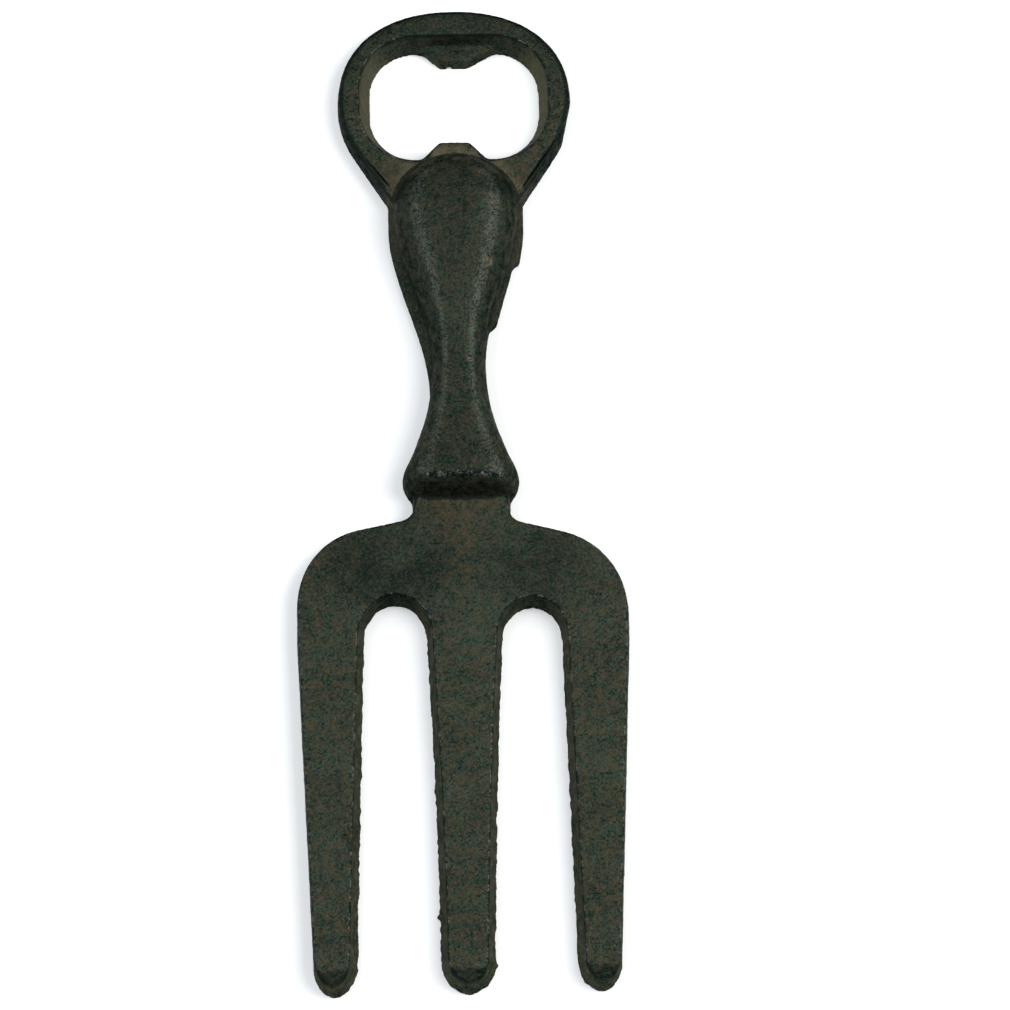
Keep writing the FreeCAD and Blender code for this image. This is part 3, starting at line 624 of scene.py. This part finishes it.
class CASTING_OT_skin(bpy.types.Operator):
    """Join the forms into one casting with soft edges, hollows, grain, flash and nicks"""
    bl_idname = "casting.skin"
    bl_label = "Casting skin"

    def worn_tips(self, copies):
        """Slopes the top of each tine down to its tip."""
        for name in TINES:
            slope = block((LOW.x - MM, -6 * MM, 0), (HIGH.x + MM, 6 * MM, 6 * MM))
            slope.rotation_euler.x = math.radians(17)
            slope.location = (0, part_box(name)[0].y + 1.2 * MM, 4.1 * MM)
            only(slope)
            bpy.ops.object.transform_apply(location=True, rotation=True, scale=True)
            carve(copies[name], slope, "DIFFERENCE")
            remove(slope)

    def lobe_ramp(self):
        """Metal that slopes from the ring's face down onto the lobe."""
        low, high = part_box("bearing_lobe")
        front, back, crest = low.y + 0.5 * MM, high.y - 0.7 * MM, FACE - 0.2 * MM
        ramp = block((HEAD_X - 6.4 * MM, front, 1 * MM), (HEAD_X + 6.4 * MM, back, crest))
        only(ramp)
        ramp.data.vertices.foreach_set("select", places(ramp)[:, 1] < (front + back) / 2)
        bpy.ops.object.mode_set(mode="EDIT")
        bpy.ops.transform.resize(value=(0.38, 1, 1), center_override=(HEAD_X, front, 0))
        bpy.ops.object.mode_set(mode="OBJECT")
        co = places(ramp)
        ramp.data.vertices.foreach_set("select", (co[:, 1] < (front + back) / 2) & (co[:, 2] > 2 * MM))
        bpy.ops.object.mode_set(mode="EDIT")
        bpy.ops.transform.translate(value=(0, 0, high.z + 0.1 * MM - crest))
        bpy.ops.object.mode_set(mode="OBJECT")
        return ramp

    def drops(self):
        """Beads of metal that ran out at the parting line beside the tines."""
        middle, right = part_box("tine_middle"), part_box("tine_right")
        run = ROOTS - LOW.y
        return [pebble((x, ROOTS - share * run, 0.45 * MM), Vector((0.42, 0.4, 0.45)) * MM)
                for x, share in ((middle[0].x + 1.55 * MM, 0.78), (middle[1].x - 1.95 * MM, 0.915),
                                 (right[0].x + 0.7 * MM, 0.212))]

    def hollow_weights(self, co):
        """1 in the hollows: round the nose, above the lobe, below the collar and over the fins."""
        reach = bpy.context.scene.casting_sizes.hollow_radius
        half, run = nose_outline()
        across, along = (co[:, 0] - HEAD_X) / half, (co[:, 1] - WEB) / run
        ring = np.sqrt(across ** 2 + np.maximum(along, 0) ** 2) - 1
        distance = np.sqrt((ring * (half + run) / 2) ** 2 + (co[:, 2] - FACE) ** 2)
        nose = (1 - fade(distance, 0.6 * reach, 1.6 * reach)) * (co[:, 1] > WEB - 2 * MM)
        low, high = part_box("bearing_lobe")
        lobe = (fade(co[:, 2], 1.2 * MM, 2.2 * MM) * fade(co[:, 1], low.y, low.y + 1 * MM)
                * (1 - fade(co[:, 1], high.y, high.y + 1.5 * MM))
                * (1 - fade(np.abs(co[:, 0] - HEAD_X), high.x - 2 * MM, high.x + 6 * MM)))
        distance = np.hypot(co[:, 1] - END, co[:, 2] - FACE)
        collar = (1 - fade(distance, 0.5 * reach, 1.2 * reach)) * (1 - fade(np.abs(co[:, 0]), 7 * MM, 9 * MM))
        low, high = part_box("parting_fin_left")
        fins = (fade(co[:, 2], 1.1 * MM, 1.9 * MM) * (1 - fade(co[:, 2], 4 * MM, 5.5 * MM))
                * fade(co[:, 1], low.y, low.y + 2 * MM) * (1 - fade(co[:, 1], high.y - 2 * MM, high.y)))
        points = fade(co[:, 2], 3 * MM, 3.6 * MM) * (1 - fade(co[:, 1], LOW.y + 5 * MM, LOW.y + 7 * MM))
        return np.maximum.reduce([nose, lobe, collar, fins, 0.25 * points])

    def rim_weights(self, co, normals):
        """1 at the outer edge of the ring's face, fading 2 mm in."""
        outward = ((co[:, :2] - (HEAD_X, WINDOW_Y)) * normals[:, :2]).sum(1) > 0
        wall = (np.abs(normals[:, 2]) < 0.4) & outward & (co[:, 1] > WEB + 2 * MM) & (co[:, 2] < 3.4 * MM)
        chosen = np.flatnonzero(wall & (co[:, 2] > 1 * MM))[::3]
        tree = KDTree(len(chosen))
        for index in chosen:
            tree.insert((co[index, 0], co[index, 1], 0), int(index))
        tree.balance()
        near = (co[:, 1] > WEB + 3 * MM) & (co[:, 2] > 1.8 * MM)
        distance = np.zeros(len(co))
        for index in np.flatnonzero(near):
            distance[index] = tree.find((co[index, 0], co[index, 1], 0))[2]
        return (1 - fade(distance, 1.2 * MM, 2.8 * MM)) * near * fade(co[:, 2], 1.8 * MM, 3 * MM)

    def flash_weights(self, co, normals):
        """1 at the foot of the slots' walls and of the points, 0 on outer walls and above."""
        low = 1 - fade(co[:, 2], 0.5 * MM, 1.5 * MM)
        upright = fade(np.hypot(normals[:, 0], normals[:, 1]), 0.3, 0.8)
        inner = 1 - fade(np.abs(co[:, 0]), HIGH.x - 4.2 * MM, HIGH.x - 3.2 * MM)
        return low * upright * inner * (1 - fade(co[:, 1], ROOTS + 8 * MM, ROOTS + 9 * MM))

    def execute(self, context):
        sizes = context.scene.casting_sizes
        copies = {node: copy_of(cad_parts[node], "form") for node in FORMS}
        for item in copies.values():
            merge_doubles(item)
        self.worn_tips(copies)
        extras = [self.lobe_ramp(), *self.drops()]
        only(*copies.values(), *extras)
        bpy.ops.object.join()
        skin = context.object
        skin.name = skin.data.name = "casting_skin"
        apply_modifier(skin, "REMESH", mode="VOXEL", voxel_size=sizes.mesh_size)
        apply_modifier(skin, "SMOOTH", factor=0.5, iterations=sizes.edge_passes)
        hollow = weigh(skin, "hollow", self.hollow_weights(places(skin)))
        apply_modifier(skin, "SMOOTH", factor=0.5, iterations=sizes.hollow_passes, vertex_group=hollow)
        rim = weigh(skin, "rim", self.rim_weights(places(skin), directions(skin)))
        apply_modifier(skin, "SMOOTH", factor=0.5, iterations=sizes.rim_passes, vertex_group=rim)
        flash = weigh(skin, "flash", self.flash_weights(places(skin), directions(skin)))
        apply_modifier(skin, "DISPLACE", texture=noise_pattern(sizes.flash_size, 2), vertex_group=flash,
                       strength=sizes.flash, mid_level=0.42)
        apply_modifier(skin, "DISPLACE", texture=noise_pattern(sizes.wave_size, 2),
                       strength=sizes.waviness, mid_level=0.65)
        apply_modifier(skin, "DISPLACE", texture=noise_pattern(sizes.grain_size, 2),
                       strength=sizes.grain, mid_level=0.6)
        self.flatten_back(skin)
        self.nicks(skin)
        skin.vertex_groups.clear()
        fin_space()
        return {"FINISHED"}

    def flatten_back(self, skin):
        """Presses what lies below the back, or just above it, level with it."""
        only(skin)
        bpy.ops.object.mode_set(mode="EDIT")
        bpy.ops.mesh.select_all(action="DESELECT")
        bpy.ops.object.mode_set(mode="OBJECT")
        skin.data.vertices.foreach_set("select", places(skin)[:, 2] < 0.12 * MM)
        bpy.ops.object.mode_set(mode="EDIT")
        bpy.ops.transform.resize(value=(1, 1, 0), center_override=(0, 0, 0))
        bpy.ops.object.mode_set(mode="OBJECT")

    def nicks(self, skin):
        """Two gas holes on the handle's right shoulder, a chip in the lobe and a cold shut on each flank."""
        chip = (HEAD_X - 0.8 * MM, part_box("bearing_lobe")[0].y, (0.5, 0.4, 3.0), 0.0)
        right_shut = (14.8 * MM, WEB + 8.2 * MM, (6.0, 0.21, 0.55), math.radians(56))
        left_shut = (-14.1 * MM, WEB + 6.6 * MM, (3.6, 0.18, 0.35), math.radians(-51))
        for x, y, size, turn in (*GAS_HOLES, chip, right_shut, left_shut):
            found, spot, *_ = skin.ray_cast((x, y + 0.1 * MM, 1), (0, 0, -1))
            if not found:
                raise RuntimeError("no metal under a nick at %.1f, %.1f mm" % (x / MM, y / MM))
            hole = pebble(spot, [s * MM for s in size], turn)
            carve(skin, hole, "DIFFERENCE")
            remove(hole)


class CASTING_OT_head(bpy.types.Operator):
    """Cut the opener's ring, its bearing lobe and its lip out of the casting"""
    bl_idname = "casting.head"
    bl_label = "Opener head"

    def execute(self, context):
        lobe_low, lobe_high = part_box("bearing_lobe")
        lip_low, lip_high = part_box("cap_lip")
        beyond = Vector((1, 1, 1)) * MM
        nose = nose_space()
        head = block((LOW.x, WEB, -MM), HIGH + beyond)
        window_top, window_bottom = lobe_high.y - 1.1 * MM, lip_low.y + 0.2 * MM
        lobe = block((lobe_low.x, lobe_low.y - MM, -MM), (lobe_high.x, window_top, lobe_high.z + 0.15 * MM))
        lip = block((lip_low.x, window_bottom, -MM), (lip_high.x, lip_high.y + MM, FACE + MM))
        fins = bpy.data.objects["fin_space"]
        for name, inside, outside in (
            ("opener_ring", head, (nose, lobe, lip, fins)),
            ("bearing_lobe", lobe, ()),
            ("cap_lip", lip, (nose,)),
        ):
            made = part_of_casting(name, inside, outside)
            finish_piece(loose_parts(made)[0], name)
        for tool in (nose, head, lobe, lip):
            remove(tool)
        return {"FINISHED"}


class CASTING_OT_handle(bpy.types.Operator):
    """Cut the handle out of the casting, with its nose on the web"""
    bl_idname = "casting.handle"
    bl_label = "Handle"

    def execute(self, context):
        grip = block((LOW.x, END, -MM), (HIGH.x, WEB, HIGH.z + MM))
        nose = nose_space()
        carve(grip, nose, "UNION")
        made = part_of_casting("handle", grip, (bpy.data.objects["fin_space"],))
        finish_piece(loose_parts(made)[0], "handle")
        for tool in (grip, nose):
            remove(tool)
        return {"FINISHED"}


class CASTING_OT_fork(bpy.types.Operator):
    """Cut the crown and the three tines out of the casting"""
    bl_idname = "casting.fork"
    bl_label = "Crown and tines"

    def execute(self, context):
        beyond = Vector((1, 1, 1)) * MM
        crown = block((LOW.x - MM, ROOTS, -MM), (HIGH.x + MM, END, HIGH.z + MM))
        finish_piece(loose_parts(part_of_casting("fork_crown", crown))[0], "fork_crown")
        tines = block(LOW - beyond, (HIGH.x + MM, ROOTS, HIGH.z))
        parts = loose_parts(part_of_casting("tines", tines))
        if len(parts) != 3:
            raise RuntimeError("the fork has %d tines and needs three" % len(parts))
        parts.sort(key=lambda part: places(part)[:, 0].mean())
        for part, name in zip(parts, TINES):
            finish_piece(part, name)
        remove(crown)
        remove(tines)
        return {"FINISHED"}


class CASTING_OT_parting_fins(bpy.types.Operator):
    """Cut the two parting fins out of the casting"""
    bl_idname = "casting.parting_fins"
    bl_label = "Parting fins"

    def execute(self, context):
        parts = loose_parts(part_of_casting("fins", bpy.data.objects["fin_space"]))
        parts = sorted(parts[:2], key=lambda part: places(part)[:, 0].mean())
        for part, name in zip(parts, FINS):
            finish_piece(part, name)
        return {"FINISHED"}


class CASTING_OT_table(bpy.types.Operator):
    """Lay out the table, the four lamps and the camera"""
    bl_idname = "casting.table"
    bl_label = "Table, lamps and camera"

    def lamp(self, name, place, size, power, tint):
        data = bpy.data.lights.new(name, "AREA")
        data.shape = "RECTANGLE"
        data.size, data.size_y = size
        data.energy = power
        data.color = from_hex(tint)
        lamp = bpy.data.objects.new(name, data)
        lamp.location = place
        lamp.rotation_euler = (-Vector(place)).to_track_quat("-Z", "X").to_euler()
        bpy.context.scene.collection.objects.link(lamp)

    def camera(self, settings):
        """Camera above the tines, with the opener a little left of the middle."""
        tilt, roll = settings.camera_tilt, settings.camera_roll
        eye = LOOK_AT + settings.camera_distance * Vector((0, -math.sin(tilt), math.cos(tilt)))
        forward = (LOOK_AT - eye).normalized()
        level = Vector((1, 0, 0))
        up = level.cross(forward)
        right = level * math.cos(roll) + up * math.sin(roll)
        forward = (LOOK_AT + right * LOOK_ASIDE - eye).normalized()
        up = right.cross(forward).normalized()
        right = forward.cross(up)
        data = bpy.data.cameras.new("camera")
        data.lens = LENS_MM
        data.clip_start, data.clip_end = 0.01, 20
        camera = bpy.data.objects.new("camera", data)
        camera.matrix_world = Matrix.Translation(eye) @ Matrix((right, up, -forward)).transposed().to_4x4()
        bpy.context.scene.collection.objects.link(camera)
        bpy.context.scene.camera = camera

    def execute(self, context):
        settings = context.scene.casting_table
        bpy.ops.object.select_all(action="DESELECT")
        bpy.ops.mesh.primitive_plane_add(size=3.0, location=(0, 0, 0))
        floor = context.object
        floor.name = floor.data.name = "table_top"
        floor.data.materials.append(table_paint(settings.floor_colour))
        self.lamp("key_right", (0.42, 0.04, 0.66), (0.40, 0.30), settings.right_power, "#FFFFFF")
        self.lamp("key_left", (-0.42, 0.04, 0.66), (0.40, 0.30), settings.left_power, "#F4F9FF")
        self.lamp("strip_right", (0.75, 0.05, 0.45), (0.30, 0.06), settings.strip_power, "#FFFFFF")
        self.lamp("strip_left", (-0.75, 0.05, 0.45), (0.30, 0.06), settings.strip_power * 0.7, "#F4F9FF")
        world = bpy.data.worlds.new("soft_room")
        world.use_nodes = True
        background = world.node_tree.nodes["Background"]
        background.inputs["Color"].default_value = (1, 1, 1, 1)
        background.inputs["Strength"].default_value = settings.ambient
        context.scene.world = world
        context.scene.view_settings.view_transform = "Standard"
        self.camera(settings)
        return {"FINISHED"}


class CASTING_PT_panel(bpy.types.Panel):
    """Steps that make the casting, in order"""
    bl_idname = "CASTING_PT_panel"
    bl_label = "Fork opener casting"
    bl_space_type = "VIEW_3D"
    bl_region_type = "UI"
    bl_category = "Casting"

    def draw(self, context):
        for step in STEPS:
            self.layout.operator(step.bl_idname)
        for group in (context.scene.casting_sizes, context.scene.casting_colours, context.scene.casting_table):
            for name in group.__annotations__:
                self.layout.prop(group, name)


STEPS = (CASTING_OT_iron_finish, CASTING_OT_skin, CASTING_OT_head, CASTING_OT_handle, CASTING_OT_fork,
         CASTING_OT_parting_fins, CASTING_OT_table)
CLASSES = (CastingSizes, CastingColours, TableSettings) + STEPS + (CASTING_PT_panel,)


def register():
    for item in CLASSES:
        bpy.utils.register_class(item)
    bpy.types.Scene.casting_sizes = PointerProperty(type=CastingSizes)
    bpy.types.Scene.casting_colours = PointerProperty(type=CastingColours)
    bpy.types.Scene.casting_table = PointerProperty(type=TableSettings)


def unregister():
    del bpy.types.Scene.casting_table
    del bpy.types.Scene.casting_colours
    del bpy.types.Scene.casting_sizes
    for item in reversed(CLASSES):
        bpy.utils.unregister_class(item)


def main():
    register()
    bpy.ops.object.select_all(action="DESELECT")
    bpy.ops.casting.iron_finish()
    bpy.ops.casting.skin()
    bpy.ops.casting.head()
    bpy.ops.casting.handle()
    bpy.ops.casting.fork()
    bpy.ops.casting.parting_fins()
    remove(bpy.data.objects["casting_skin"])
    remove(bpy.data.objects["fin_space"])
    bpy.ops.casting.table()


if __name__ == "__main__":
    main()
